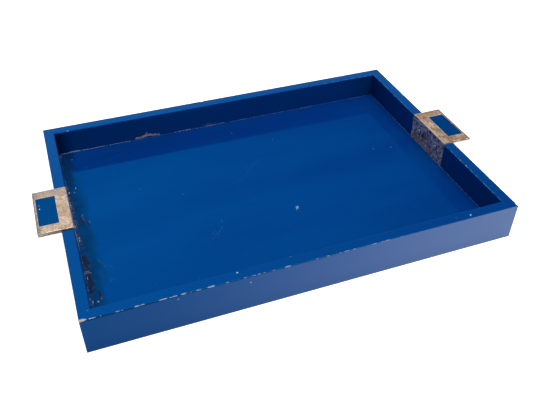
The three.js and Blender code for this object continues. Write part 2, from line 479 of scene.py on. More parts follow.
def chipped_group():
    """Reads a chip's depth from the mesh and splits it into the pale broken edge and the wood inside."""
    inputs = {"Place": "Vector", "Chip": 0.0, "Lacquer": "Color"}
    tree, given, out = new_group("chipped lacquer", inputs, {"Color": "Color", "Broken": "Float"})
    ragged = times(calc("SUBTRACT", fuzz(given["Place"], 1400.0), 0.5), 0.5)
    depth = calc("ADD", given["Chip"], ragged)
    broken = between(depth, 0.02, 0.12)
    timber = use(BARE_WOOD, {"Place": given["Place"]})["Color"]
    rim = cover(given["Lacquer"], broken, rgb(120, 160, 205))
    feed(out["Color"], blend(between(depth, 0.16, 0.3), rim, timber))
    feed(out["Broken"], broken)
    return tree


CHIPPED = chipped_group()

# %% [markdown]
# ## Blue lacquer
# The rails are sprayed in many coats and rubbed down, so their shine is deep but not quite a mirror. The
# clear top of the lacquer could be a second material, but the Principled shader has a Coat layer made for
# this. The coat is left off the worn tops and insides and put on the outer faces, which are handled less.
# Along them it fades towards the left end: a painted reflection, standing in for light that is brighter
# at the right.

# %% Material: lacquered rails
LACQUER = rgb(1, 51, 120)
LACQUER_DEEP = rgb(1, 48, 116)
PAINTED_LIGHT_TOP = rgb(2, 62, 131)
FINE_GRAIN = rgb(1, 30, 84)
RAIL_SHINE_IOR = 3.6
FLOOR_SHINE_IOR = 4.4
BLUE_SHINE = (0.0, 0.034, 0.093)  # the share of red, green and blue that the lacquer mirrors


def blue_shine(shader, ior):
    """A shine that stays blue at all but the flattest angles: a high IOR, dimmed by a blue tint."""
    mirrored = ((ior - 1) / (ior + 1)) ** 2
    shader["IOR"].default_value = ior
    shader["Specular Tint"].default_value = (*[share / mirrored for share in BLUE_SHINE], 1.0)


RUBBED_THROUGH = on_rear(
    (-132, 15.2, -118, 16.6, 1.8, 0.46), (-122, 16.2, -110, 18.2, 2.2, 0.4),
    (-113, 17.6, -99, 16, 1.8, 0.45), (-118, 18.5, -115, 21, 1.1, 0.5), (-36, 16, -14, 18, 0.9, 0.64),
)
PALE_MARKS = on_rear(
    (-233, 13.7, -224, 13.7, 0.8, 0.54), (-222, 14, -210, 14, 1, 0.44), (-208, 13.7, -176, 13.7, 0.7, 0.56),
    (-176, 13.7, -140, 13.7, 0.6, 0.6), (-76, 13.8, -53, 13.8, 0.7, 0.56), (-29, 14, -3, 14, 0.7, 0.6),
)
PALE_MARKS += on_rim(
    (188, -170.5, 189.2, -169.6, 1.0, 0.35), (170, -168.5, 170.5, -168.5, 0.5, 0.52),
    (-89, -165.5, -88, -165.5, 1.1, 0.45), (-30, -162, -28, -162, 0.8, 0.5),
    (236.8, -88, 236.8, -87, 1.0, 0.4), (236.8, -75, 236.8, -74, 0.8, 0.4),
    (-240.4, -164.2, -238.2, -162.4, 0.4, 0.58), (-220, 161.8, -218, 161.8, 0.8, 0.4),
)
PALE_MARKS += [  # on the front face
    ((-77, -175, 38.2), (-77, -175, 38.7), 0.8, 0.4),
    ((-154, -175, 41.2), (-153, -175, 42.2), 0.6, 0.5),
]
CORNER_CRACK = [
    ((236, 161.2, 13.6), (233, 161.5, 15.5), 1.5, 0.45),
    ((236.4, 161, 15), (236.4, 161.2, 34), 0.5, 0.5),
]


def rail_material():
    """The rails' lacquer: chips from the mesh, dust, smears, and painted light and shade, such as a dark line
    under the front rim.
    """
    material, shader, place = new_material("blue_lacquer")
    x, y, z = split(place)
    chip, outside, outer_edge, inner_edge = from_mesh(place, "chip", "outside", "outer_edge", "inner_edge")
    below_rim = calc("SUBTRACT", RIM_Z, z)
    face = between(below_rim, 1 * MM, 3 * MM)
    inner_face = times(face, 0.3, inverse(outside))
    paint = blend(fuzz(place, 26.0), LACQUER, LACQUER_DEEP)
    paint = cover(paint, between(fuzz(place, 1100.0, 1.0), 0.35, 0.65, 0.0, 0.16), FINE_GRAIN)
    # Painted light: the rail tops are painted lighter, more so towards the rear rail.
    on_top = between(below_rim, 1.2 * MM, 0.4 * MM)
    paint = cover(paint, times(on_top, between(y, -0.17, 0.17, 0.35, 1.0)), PAINTED_LIGHT_TOP)
    # Painted shade: the rear wall darkens towards its left end and the right wall towards the front.
    wall_shade_zone = most(between(x, -0.05, -0.23), between(y, 0.08, -0.16))
    paint = cover(paint, times(wall_shade_zone, inner_face), rgb(1, 20, 44))
    # Painted reflection: the inner walls are tinted teal, standing in for the floor that they mirror.
    paint = cover(paint, inner_face, rgb(2, 66, 112))
    # Pale line along the inner top edges, mostly at the right: partly worn lacquer, partly a painted
    # highlight on the rounded edge.
    rubbed_and_highlight = times(inner_edge, between(fuzz(place, 260.0), 0.42, 0.62), between(x, 0.1, 0.2, 0.0, 0.5))
    paint = cover(paint, times(rubbed_and_highlight, between(y, -0.165, -0.155)), rgb(90, 140, 195))
    # Painted shade: a dark line along the front rail's inner top edge.
    paint = cover(paint, times(inner_edge, between(y, -0.155, -0.16, 0.0, 0.5)), rgb(1, 34, 88))
    paint = cover(paint, dust(place, 150.0, 0.9, 0.055), rgb(130, 165, 205), 0.4)
    # Painted shade: the outer faces darken towards the tray's left end.
    paint = cover(paint, times(outside, between(x, 0.0, -0.25, 0.0, 0.6)), rgb(1, 40, 98))
    # Painted shade: the outer top edges are darkened over the left half and all along the front rail.
    dark_edge_shade = most(between(x, 0.08, -0.04), between(y, -0.17, -0.165))
    paint = cover(paint, times(outer_edge, dark_edge_shade), rgb(1, 18, 52), 0.7)
    # Painted shade in the rear left corner, on the walls below the rim.
    corner = times(between(x, -0.212, -0.236), between(y, 0.1, 0.15), face)
    paint = cover(paint, corner, rgb(1, 6, 30), 0.8)
    # Painted shade: a dark line along the left rail's inner top edge.
    paint = cover(paint, times(between(x, -0.232, -0.2355), inner_edge), rgb(1, 20, 66), 0.6)
    # Painted shade: a dark wedge on the front face just under the rim, widest at the left end and fading out
    # near the middle; the coat is taken away there too.
    wedge = between(calc("DIVIDE", below_rim, between(x, -0.25, -0.1, 3.0 * MM, 1.4 * MM)), 1.0, 0.7)
    wedge = times(wedge, outside, between(x, -0.04, 0.08, 0.95, 0.0))
    paint = cover(paint, wedge, rgb(1, 12, 48))
    paint = cover(paint, marks(place, CORNER_CRACK), rgb(44, 34, 38), 0.8)
    paint = cover(paint, marks(place, RUBBED_THROUGH, grit_scale=900.0), rgb(168, 152, 126), 0.9)
    paint = cover(paint, marks(place, PALE_MARKS, wander=0.6), rgb(160, 188, 216), 0.8)
    chipped = use(CHIPPED, {"Place": place, "Chip": chip, "Lacquer": paint})
    feed(shader["Base Color"], chipped["Color"])
    smear = between(fuzz(place, 14.0, 4.0, distortion=0.6), 0.3, 0.7, 0.1, 0.2)
    dull = most(chipped["Broken"], times(inner_edge, 0.8))
    feed(shader["Roughness"], most(smear, times(dull, 0.7)))
    blue_shine(shader, RAIL_SHINE_IOR)
    whole = inverse(most(chipped["Broken"], wedge))
    # Painted reflection: the coat fades from full at the right end to a tenth at the left, standing in for
    # light that is brighter at the right.
    feed(shader["Coat Weight"], times(outside, between(x, -0.30, 0.26, 0.1, 1.0), whole))
    shader["Coat Roughness"].default_value = 0.16
    shader["Coat IOR"].default_value = 1.55
    relief(shader, fuzz(place, 900.0, 2.0), 0.04, 0.0005)
    return material


RAIL_FINISH = rail_material()

# %% [markdown]
# ## The rails
# Each rail is a length of planed hardwood with a groove for the floor and softened edges. Its ends are cut
# to 45 degrees. The chips could be painted on, but a real chip is a step down to the wood, so they also
# move the mesh: the outline has close-set points round its upper outer edge, and the rings are half a
# millimetre apart.

# %% The outline of a rail
OUTER_BOTTOM_R, OUTER_TOP_R, INNER_TOP_R, INNER_BOTTOM_R = 0.5 * MM, 0.6 * MM, 1.6 * MM, 0.8 * MM
GROOVE_DEPTH = 5 * MM
EDGE_ZONE = 5 * MM  # how far from the upper edges the outline has close-set points
FINE, COARSE = 0.45 * MM, 3 * MM


def rail_outline():
    """(inward, up) points of a rail's section, anticlockwise from the outer bottom edge."""
    t, h = WALL, RIM_Z
    outline = arc((OUTER_BOTTOM_R, OUTER_BOTTOM_R), OUTER_BOTTOM_R, 2, 3, 8)
    outline += arc((t - INNER_BOTTOM_R, INNER_BOTTOM_R), INNER_BOTTOM_R, 3, 4, 4)
    outline += [(t, PANEL_BOTTOM_Z), (t - GROOVE_DEPTH, PANEL_BOTTOM_Z)]
    outline += [(t - GROOVE_DEPTH, FLOOR_Z), (t, FLOOR_Z)]
    outline += [(t, up) for up in spaced(FLOOR_Z, h - EDGE_ZONE, COARSE)[1:-1]]
    outline += [(t, up) for up in spaced(h - EDGE_ZONE, h - INNER_TOP_R, 2 * FINE)[:-1]]
    outline += arc((t - INNER_TOP_R, h - INNER_TOP_R), INNER_TOP_R, 0, 1, 7)
    outline += [(inward, h) for inward in spaced(t - INNER_TOP_R, EDGE_ZONE, 2 * FINE)[1:-1]]
    outline += [(inward, h) for inward in spaced(EDGE_ZONE, OUTER_TOP_R, FINE)[:-1]]
    outline += arc((OUTER_TOP_R, h - OUTER_TOP_R), OUTER_TOP_R, 1, 2, 6)
    outline += [(0, up) for up in spaced(h - OUTER_TOP_R, h - EDGE_ZONE, FINE)[1:-1]]
    outline += [(0, up) for up in spaced(h - EDGE_ZONE, OUTER_BOTTOM_R, COARSE)[:-1]]
    return np.array(outline)


RAIL_OUTLINE = rail_outline()
print(f"the rail's outline has {len(RAIL_OUTLINE)} points")

# %% [markdown]
# A chip is given by where it is along the rail, how long it is, and how far it reaches over the top and
# down the face. The front rail's chips crowd towards its left end, where the tray has been knocked most.
# The others have a few each. All are in millimetres, and "along" runs from the middle of the rail to its
# right, seen from outside.

# %% Chips: (along, half length, over the top, down the face)
FRONT_CHIPS = [
    (-249, 7, 2.8, 2), (-237, 4.2, 0.9, 0.8), (-229, 1.2, 0.5, 0.5), (-213, 2.6, 0.6, 0.6),
    (-208.5, 1.2, 0.5, 0.4), (-194, 3.4, 1, 0.6), (-188.5, 2.2, 1, 0.5), (-168, 4.6, 0.9, 0.7),
    (-160.5, 1.6, 0.6, 0.5), (-156.5, 3, 1, 0.8), (-147.5, 3.2, 1, 1), (-140, 1.2, 0.6, 0.5),
    (-132, 2.6, 0.7, 0.6), (-119, 4.6, 1.1, 1.1), (-102, 2.4, 0.6, 0.5), (-83, 2.2, 0.5, 0.7),
    (-74, 2.8, 0.6, 0.5), (-68, 1.9, 0.5, 0.6), (-62.5, 1.7, 0.5, 0.4), (-52, 1.9, 0.5, 0.5),
    (-36.5, 3.8, 0.8, 0.9), (-3, 1.6, 0.5, 0.6), (9.5, 1.8, 0.5, 0.8), (23.5, 1.6, 0.5, 0.6),
    (31, 3.8, 0.6, 0.7), (40, 2.4, 0.4, 0.7), (64, 3.4, 0.4, 0.8), (77, 6, 0.4, 0.9),
    (97, 1.2, 0.3, 0.7),
]
REAR_CHIPS = [(-190, 2.2, 0.8, 0.9), (-95, 1.6, 0.7, 0.6), (30, 3.4, 1, 1.2), (143, 1.8, 0.7, 0.8)]
RIGHT_CHIPS = [(-172, 2.6, 1.2, 1.4), (-120, 1.8, 0.7, 0.8), (96, 2.6, 0.9, 1.2), (150, 1.4, 0.7, 0.6)]
LEFT_CHIPS = [(-140, 1.6, 0.6, 0.8), (70, 2, 0.8, 0.8), (175.5, 3.2, 7.5, 0.8)]

# %% Build a rail


def chip_mask(along, edge, points, chips, seed):
    """How deep in a chip each point is. edge is above 0 on top of the arris and below 0 on the face."""
    mask = np.full(along.shape, -1.0)
    ragged = 0.32 * rough_lumps(points, 1.6 * MM, seed)
    for centre, half_length, on_top, on_face in chips:
        reach = np.where(edge > 0, on_top, on_face) * MM
        away = np.hypot((along - centre * MM) / (half_length * MM), edge / reach)
        mask = np.maximum(mask, 1 - away + ragged)
    return mask


CHIP_DEPTH, LACQUER_THICKNESS, CORNER_R, SWELL = 0.55 * MM, 0.18 * MM, 0.8 * MM, 0.03 * MM
HOUSING_DEPTH = 1 * MM  # how far a handle's leg is let into an end rail
HOUSING_HALF = bracket_box[1].y + 0.1 * MM


def make_rail(side, quarter_turns, length, across, pitch, chips, seed):
    """A mitred rail along X with its outer face towards -Y, turned about the tray's middle to its side."""
    half = length / 2
    stations = np.linspace(-1, 1, round(length / pitch) + 1)
    end_rail = side in ("left", "right")
    if end_rail:
        cut = HOUSING_HALF / (half - WALL)
        stations = np.sort(np.append(stations, [-cut - 1e-4, -cut, cut, cut + 1e-4]))
    inward, up = RAIL_OUTLINE.T
    along = stations[:, None] * (half - inward)
    rings = np.stack([along, inward - across / 2 + 0 * along, up + 0 * along], -1)
    drop = RIM_Z - up
    over_outer = inward - drop + (inward > WALL / 2) + 0 * along
    over_inner = (WALL - inward) - drop + (inward < WALL / 2) + 0 * along
    mask = chip_mask(along, over_outer, rings, chips, seed)
    nick = rough_lumps(rings, 3 * MM, seed + 40)
    near_outer = 1 - step(np.abs(over_outer), 0.2 * MM, 0.9 * MM)
    near_inner = 1 - step(np.abs(over_inner), 0.3 * MM, 1.2 * MM)
    mask = np.maximum(mask, 1.6 * (nick - 0.66) * near_outer + near_outer - 1)
    mask = np.maximum(mask, 1.6 * (nick - 0.8) * near_inner + near_inner - 1)
    depth = LACQUER_THICKNESS * step(mask, 0.0, 0.12) + CHIP_DEPTH * step(mask, 0.1, 1.0)
    depth += SWELL * (1 + rough_lumps(rings, 45 * MM, seed + 80, 2))
    corner = np.clip(CORNER_R - (half - np.abs(along)), 0, CORNER_R * (1 - 0.5**0.5))
    rounding = (CORNER_R - np.sqrt(CORNER_R**2 - corner**2)) * (inward < OUTER_TOP_R)
    depth += rounding * (1 - inward / OUTER_TOP_R)
    rings[..., 1:] += depth[..., None] * inward_normals(RAIL_OUTLINE, 1)
    if end_rail:
        at_leg = np.abs(along) < HOUSING_HALF + 0.01 * MM
        housed = at_leg & (up >= FLOOR_Z) & (inward > WALL - GROOVE_DEPTH)
        back = WALL - HOUSING_DEPTH - across / 2
        rings[..., 1] = np.where(housed, np.minimum(rings[..., 1], back), rings[..., 1])
    mitre = half - (rings[..., 1] + across / 2)
    rings[..., 0] = np.sign(along) * np.minimum(np.abs(along), mitre)
    outside = (inward < 0.4 * MM) * 1.0 + 0 * along
    values = {"chip": mask, "outside": outside, "outer_edge": near_outer, "inner_edge": near_inner}
    piece = skin(f"{side}_rail_lacquered", rings, values)
    piece.data.transform(Matrix.Rotation(quarter_turns * math.pi / 2, 4, "Z"))
    return finish_piece(piece, RAIL_FINISH, [f"{side}_rail"])


make_rail("front", 0, TRAY_LENGTH, TRAY_WIDTH, 0.5 * MM, FRONT_CHIPS, 1)
make_rail("right", 1, TRAY_WIDTH, TRAY_LENGTH, 0.7 * MM, RIGHT_CHIPS, 2)
make_rail("rear", 2, TRAY_LENGTH, TRAY_WIDTH, 0.9 * MM, REAR_CHIPS, 3)
make_rail("left", 3, TRAY_WIDTH, TRAY_LENGTH, 0.7 * MM, LEFT_CHIPS, 4)

# %% [markdown]
# ## The floor
# The floor board is the glossiest part, because it lies flat and nothing rubs its shine away but cups and
# a cloth. It mirrors the rear rail. A perfectly flat mirror looks like glass, so the board has a very
# slight warp, less than a tenth of a millimetre, as plywood does. Its scratches, dust and stain are in the
# material.

# %% Material: glossy floor
FLOOR_BLUE = rgb(2, 48, 119)
FLOOR_TEAL = rgb(2, 56, 126)
FLOOR_SCRATCHES = on_floor(
    (13, 58, -9, 38, 0.7, 0.58), (3, 50, -20, 22, 0.6, 0.62), (-12, 34, -34, 6, 0.55, 0.64),
    (-69, -52, -84, -72, 0.6, 0.55), (-75, -60, -97, -80, 0.5, 0.62), (-82, -58, -88, -66, 0.7, 0.6),
    (-64, -47, -76, -49, 0.5, 0.62), (-181, 121, -158, 133, 0.7, 0.6), (-158, 133, -133, 141, 0.6, 0.64),
    (180, 75, 170, 55, 0.6, 0.64), (120, -92, 126, -112, 0.7, 0.64), (196, -100, 199, -122, 0.6, 0.6),
    (196, 12, 208, 22, 0.6, 0.64), (-221, -60, -213, -76, 0.8, 0.52), (-211, -70, -207, -80, 0.6, 0.6),
    (-207, -80, -206, -90, 0.6, 0.62),
)
FLOOR_HAZES = on_floor(
    (-14, 40, -2, 52, 7, 0.2), (-24, 24, -14, 38, 4, 0.25), (-92, -74, -70, -50, 8, 0.2),
    (-209, -98, -208, -94, 6, 0.35), (0, 4, 6, -18, 4, 0.4),
)
WHITE_SMEAR = on_floor((24.6, -53, 24, -55, 3.0, 0.5), (22.5, -57, 22, -58, 1.6, 0.56))
WHITE_DOTS = on_floor(
    (-222.5, 142.9, -222.4, 142.9, 0.8, 0.35), (-235, 71.4, -234.9, 70, 1, 0.45),
    (-229.1, -124.7, -229, -124.6, 1.3, 0.45), (-234.6, -74, -235, -79, 0.8, 0.58),
    (-234.6, -84, -235, -88, 0.8, 0.58), (-234.6, -122, -235, -126, 1.2, 0.62),
    (-234.4, -17, -235, -24, 1.4, 0.62), (-225.5, 79, -226, 77, 0.8, 0.55),
    (-228.5, 70, -228.7, 69.5, 0.8, 0.5),
)
TINY_DOTS = on_floor(
    (-1, 130, -1, 130.1, 0.8, 0.4), (-175, 91, -175, 91.1, 0.7, 0.4), (-150, 48, -150, 48.1, 0.7, 0.4),
    (48, 95, 48, 95.1, 0.7, 0.4), (-101, 20, -101, 20.1, 0.7, 0.4), (171, 27, 171, 27.1, 0.9, 0.4),
    (196, 22, 196, 22.1, 0.9, 0.4),
)
CHARRED = on_floor(
    (-234.5, -52, -232.5, -64, 3.6, 0.4), (-233, -61, -229, -64, 2.2, 0.46),
    (-233.5, -66, -232, -74, 2.6, 0.46), (-234, -84, -232, -96, 3.6, 0.36),
    (-233, -96, -234, -109, 3.2, 0.4), (-226.5, -110, -226, -119, 2, 0.5),
    (-227.5, 16, -226, 5, 1.6, 0.46), (-228.5, 24, -229, 17, 1.4, 0.5), (-221.5, 8, -221, 1, 1.1, 0.5),
)
RUSTY = on_floor(
    (-232.3, -76.5, -230.6, -79.5, 1.7, 0.46), (-225.5, 22, -224.5, 12, 1, 0.5),
    (-219.5, 9, -218.5, 4, 0.8, 0.52), (-233, -57, -229, -70, 5, 0.74),
    (-232, -90, -232, -104, 4.5, 0.75), (-225.5, -117, -225, -124, 1.2, 0.62),
)
OLD_RING = on_floor(
    (-224, -61, -219, -68, 3.4, 0.4), (-219, -68, -216, -80, 3.6, 0.4), (-216, -80, -216, -94, 3.8, 0.4),
    (-216, -94, -221, -103, 3.6, 0.45),
)


def floor_material():
    """The floor's lacquer: a mirror finish with scratches, dust, a smear, dirt along the walls and painted
    shade by the left rail.
    """
    material, shader, place = new_material("floor_lacquer")
    mottle = fuzz(place, 16.0, 2.0, stretch=(0.25, 1.0, 1.0))
    paint = blend(between(mottle, 0.3, 0.7), FLOOR_BLUE, FLOOR_TEAL)
    paint = cover(paint, between(fuzz(place, 1100.0, 1.0), 0.35, 0.65, 0.0, 0.14), FINE_GRAIN)
    paint = cover(paint, marks(place, OLD_RING), rgb(10, 40, 70), 0.5)
    paint = cover(paint, marks(place, FLOOR_SCRATCHES, wander=1.0), rgb(110, 160, 205), 0.09)
    scuffs = times(dust(place, 480.0, 0.5, 0.16), marks(place, FLOOR_HAZES, wander=3.0, grit_scale=200.0))
    paint = cover(paint, scuffs, rgb(110, 165, 205), 0.46)
    paint = cover(paint, marks(place, WHITE_SMEAR, grit_scale=900.0), rgb(190, 212, 232), 0.34)
    paint = cover(paint, marks(place, TINY_DOTS, wander=0.4), rgb(150, 180, 215), 0.4)
    paint = cover(paint, dust(place, 150.0, 0.86, 0.055), rgb(130, 170, 210), 0.35)
    left_wall_shade, line, crumbs, grit = wall_dirt_and_shade(place)
    # Painted shade in a strip along the left rail.
    paint = cover(paint, left_wall_shade, rgb(5, 26, 58), 0.92)
    paint = cover(paint, line, rgb(112, 142, 184), 0.8)
    paint = cover(paint, crumbs, rgb(150, 128, 128), 0.75)
    paint = cover(paint, grit, rgb(128, 132, 170))
    rusty = marks(place, RUSTY)
    paint = cover(paint, rusty, rgb(112, 82, 70), 0.8)
    charred = marks(place, CHARRED, wander=1.5, grit_scale=620.0)
    paint = cover(paint, charred, rgb(30, 17, 11), 0.96)
    feed(shader["Base Color"], cover(paint, marks(place, WHITE_DOTS, wander=0.6), rgb(190, 195, 215), 0.62))
    rough = most(times(most(charred, rusty, crumbs, line), 0.95), times(left_wall_shade, 0.5))
    smooth = between(fuzz(place, 9.0, 4.0), 0.35, 0.7, 0.045, 0.09)
    feed(shader["Roughness"], most(smooth, rough))
    blue_shine(shader, FLOOR_SHINE_IOR)
    relief(shader, calc("ADD", fuzz(place, 350.0), times(rough, 8.0)), 0.03, 0.0005)
    return material


def wall_dirt_and_shade(place):
    """Masks of the painted shade by the left rail, a cracked line along every rail, loose crumbs and grit."""
    x, y, _ = split(place)
    from_left = calc("ADD", x, INSIDE_X)
    from_right = calc("SUBTRACT", INSIDE_X, x)
    from_rear = calc("SUBTRACT", INSIDE_Y, y)
    # Painted shade: a darker strip on the floor along the left rail, its width and depth varied by noise.
    reach = between(fuzz(place, 16.0), 0.3, 0.7, 15 * MM, 32 * MM)
    strip = between(calc("DIVIDE", from_left, reach), 1.0, 0.35)
    left_wall_shade = times(strip, between(fuzz(place, 60.0, 4.0), 0.25, 0.6, 0.55, 1.0))
    nearest = calc("MINIMUM", calc("MINIMUM", from_left, from_right), from_rear)
    fine = fuzz(place, 1000.0)
    width = between(fuzz(place, 45.0), 0.4, 0.7, 0.45 * MM, 1.0 * MM)
    broken = between(fuzz(place, 110.0, 2.0), 0.45, 0.6, 0.15, 1.0)
    broken = most(broken, inverse(between(x, -0.230, -0.234)))
    line = times(between(calc("DIVIDE", nearest, width), 1.0, 0.5), between(fine, 0.42, 0.58), broken)
    loose = between(calc("DIVIDE", from_left, 9 * MM), 1.0, 0.1)
    thick = between(fuzz(place, 30.0, 2.0), 0.4, 0.62, 0.0, 0.13)
    crumbs = between(calc("ADD", fine, times(thick, loose)), 0.68, 0.72)
    grit = times(dust(place, 420.0, 0.55, 0.13), between(x, -0.218, -0.234))
    grit = times(grit, between(fuzz(place, 35.0, 2.0), 0.4, 0.6, 0.1, 0.7))
    return left_wall_shade, line, times(crumbs, loose), grit


# %% Build the floor
WARP = 0.035 * MM
BLISTER = 0.3 * MM


def make_floor():
    """The board as rings across the tray: close-set at the left, where the lacquer has lifted."""
    low, high = panel_box
    fine_end = low.x + 26 * MM
    along = np.concatenate([spaced(low.x, fine_end, 0.7 * MM)[:-1], spaced(fine_end, high.x, 3 * MM)])
    over = spaced(low.y, high.y, 1 * MM)
    x, y = np.meshgrid(along, over, indexing="ij")
    grid = np.stack([x, y, np.full_like(x, FLOOR_Z)], -1)
    warp = rough_lumps(grid * [0.35, 1, 1], 70 * MM, 5, 2)
    blistered = 1 - step(x + INSIDE_X, 3 * MM, 11 * MM)
    blister = rough_lumps(grid, 4 * MM, 9)
    grid[..., 2] += WARP * (warp - 1) - BLISTER * blistered * step(blister, 0.1, 0.5)
    ends = np.array([(high.y, PANEL_BOTTOM_Z), (low.y, PANEL_BOTTOM_Z)])
    flat = np.zeros_like(along)
    under = np.stack([np.stack([along, flat + y_end, flat + z_end], -1) for y_end, z_end in ends], 1)
    piece = skin("floor_lacquered", np.concatenate([grid, under], 1))
    return finish_piece(piece, floor_material(), ["floor_panel"])


make_floor()

# %% [markdown]
# ## Worn plating
# The handles are brass or steel angle that was plated and polished. The plating has yellowed on top, where
# hands touch it, and gone grey-purple with black pits inside the tray, where spilt drinks dried. One
# material does both, and a value in the mesh says how far down the leg a point is.

# %% Material: worn plating


PLATE_FLECKS = on_plate(
    (245.5, 13.5, 245.8, 6, 1.1, 0.4), (243.3, 2.1, 243.4, 1.5, 1.6, 0.3),
    (243, -20.6, 243, -21.4, 1.3, 0.4), (240.3, -26, 240.2, -26.4, 0.9, 0.4),
    (250.2, 3, 250.4, -14, 0.8, 0.42), (252, 25.6, 270, 25.6, 1, 0.44), (-252, -41, -260, -41, 1.6, 0.5),
)


def plating_material():
    """Plated metal: champagne on top, browner at the right, dark on the leg, bright at the edges from wear
    and painted highlights.
    """
    material, shader, place = new_material("worn_plating")
    x, y, z = split(place)
    leg, bright, pit, tarnish_and_gap_shade = from_mesh(place, "leg", "bright", "pit", "tarnish_and_gap_shade")
    cloud = fuzz(place, 130.0, 5.0, distortion=0.5)
    fine = fuzz(place, 620.0, 4.0)
    clouded = between(cloud, 0.35, 0.65)
    champagne = blend(clouded, rgb(198, 173, 149), rgb(228, 208, 188))
    bronze = blend(clouded, rgb(166, 132, 104), rgb(214, 184, 156))
    top = cover(champagne, between(x, 0.0, 0.1, 0.0, 0.85), bronze)
    top = cover(top, between(fine, 0.42, 0.66, 0.0, 0.62), rgb(118, 84, 60))
    top = cover(top, between(fuzz(place, 55.0), 0.55, 0.75), rgb(140, 132, 130), 0.45)
    # The left grip's outer strip, beyond the inlay, is made greyer.
    grey_outer_strip = times(between(x, -0.2685, -0.2705), between(fine, 0.3, 0.6, 0.2, 0.75))
    top = cover(top, grey_outer_strip, rgb(132, 124, 120))
    dim_end = times(between(x, -0.1, -0.2), between(y, 0.02, 0.027, 0.0, 0.42))
    top = cover(top, dim_end, rgb(140, 134, 132))
    streak = fuzz(place, 230.0, 5.0, distortion=0.6)
    slate = blend(between(streak, 0.36, 0.64), rgb(80, 84, 108), rgb(206, 198, 208))
    brown = times(between(fuzz(place, 120.0, 4.0), 0.35, 0.6), between(z, 0.034, 0.018))
    slate = cover(slate, brown, rgb(176, 138, 122), 0.9)
    slate = cover(slate, between(fine, 0.5, 0.66, 0.0, 0.6), rgb(48, 40, 54))
    metal = blend(leg, top, slate)
    flecks = times(marks(place, PLATE_FLECKS, wander=0.8), inverse(leg))
    metal = cover(metal, flecks, rgb(250, 236, 218), 0.85)
    # Bright share: bare metal at the ragged worn end, painted highlights elsewhere.
    metal = cover(metal, bright, rgb(240, 232, 220), 0.85)
    # Darkened: tarnished grip edges, and painted shade in the gap round the inlay.
    metal = cover(metal, tarnish_and_gap_shade, rgb(74, 50, 40), 0.8)
    feed(shader["Base Color"], cover(metal, pit, rgb(20, 17, 24)))
    feed(shader["Metallic"], times(between(leg, 0.2, 0.8, 0.7, 0.35), between(pit, 0.3, 0.7, 1.0, 0.3)))
    feed(shader["Roughness"], most(between(cloud, 0.3, 0.7, 0.28, 0.5), times(pit, 0.8)))
    relief(shader, calc("ADD", cloud, times(fine, 0.5)), 0.35, 0.0003)
    return material


PLATING = plating_material()

# %% [markdown]
# ## The handles
# A handle is an angle: a leg down the inside of the rail, a plate over the rim, and a thicker grip outside
# it with a pocket for the inlay. It is made as rings along the handle's width. Inside the pocket the top
# of each ring drops to the pocket's floor, and two rings close together at each end of it make the
# pocket's upright walls.

# %% Sizes of a handle, read from the right one
LEG_X = bracket_box[0].x
GRIP_END_X = bracket_box[1].x
LEG_BOTTOM_Z = bracket_box[0].z
HALF_HANDLE = bracket_box[1].y
GRIP_BOTTOM_Z = PLATE_TOP_Z - 4 * MM
RIM_GAP = 0.1 * MM
POCKET = (inlay_box[0].x - 0.15 * MM, inlay_box[1].x + 0.15 * MM)
POCKET_HALF = inlay_box[1].y + 0.15 * MM
POCKET_FLOOR_Z = inlay_box[0].z - 0.1 * MM
BEND_R = 1.5 * MM
SCREW_Y, SCREW_DROP = 20 * MM, 15 * MM  # off the handle's middle, and below the rim
print(f"handle {2 * HALF_HANDLE:.3f} m wide, its grip reaches x {GRIP_END_X:.4f} m")


def handle_outline():
    """(x, z) points of the right handle's section, clockwise from the leg's inner foot up and over."""
    outer = TRAY_LENGTH / 2 + RIM_GAP
    rail_side = INSIDE_X + HOUSING_DEPTH - RIM_GAP
    under_plate = RIM_Z + RIM_GAP
    points = [(LEG_X, z) for z in spaced(LEG_BOTTOM_Z, PLATE_TOP_Z - BEND_R, 0.6 * MM)[:-1]]
    points += arc((LEG_X + BEND_R, PLATE_TOP_Z - BEND_R), BEND_R, 2, 1, 7)
    edges = [LEG_X + BEND_R, POCKET[0] - 0.25 * MM]
    points += [(x, PLATE_TOP_Z) for x in spaced(*edges, 0.6 * MM)[1:]]
    points += [(POCKET[0] - 0.05 * MM, PLATE_TOP_Z), (POCKET[0], PLATE_TOP_Z)]
    points += [(x, PLATE_TOP_Z) for x in spaced(POCKET[0], POCKET[1], 0.8 * MM)[1:-1]]
    points += [(POCKET[1] + more * MM, PLATE_TOP_Z) for more in (0, 0.05, 0.25)]
    points += arc((GRIP_END_X - 0.5 * MM, PLATE_TOP_Z - 0.5 * MM), 0.5 * MM, 1, 0, 4)
    grip = spaced(PLATE_TOP_Z - 0.5 * MM, GRIP_BOTTOM_Z + 0.5 * MM, 0.6 * MM)
    points += [(GRIP_END_X, z) for z in grip[1:-1]]
    points += arc((GRIP_END_X - 0.5 * MM, GRIP_BOTTOM_Z + 0.5 * MM), 0.5 * MM, 0, -1, 4)
    points += [(x, GRIP_BOTTOM_Z) for x in spaced(GRIP_END_X - 0.5 * MM, outer, 1.2 * MM)[1:]]
    points += [(outer, under_plate), (rail_side, under_plate), (rail_side, LEG_BOTTOM_Z)]
    return np.array(points)


# %% Pits on a leg: (y, z, radius), in millimetres
LEG_PITS = [
    (13.5, 29.7, 1.8), (10, 32.2, 2.2), (6.5, 30.7, 2), (3, 30.7, 1.7), (-1, 29.7, 1.4),
    (-4.5, 30.7, 1.4), (-33.8, 43.2, 1.6), (-33.5, 32.2, 1.9), (-32, 21.7, 2.2), (-30, 16.7, 2.6),
    (26, 44.7, 1.3), (2, 43.2, 1.2), (-25, 27.2, 1.3), (31, 28.2, 1.5),
]

# %% Build the handles
HANDLE_OUTLINE = handle_outline()


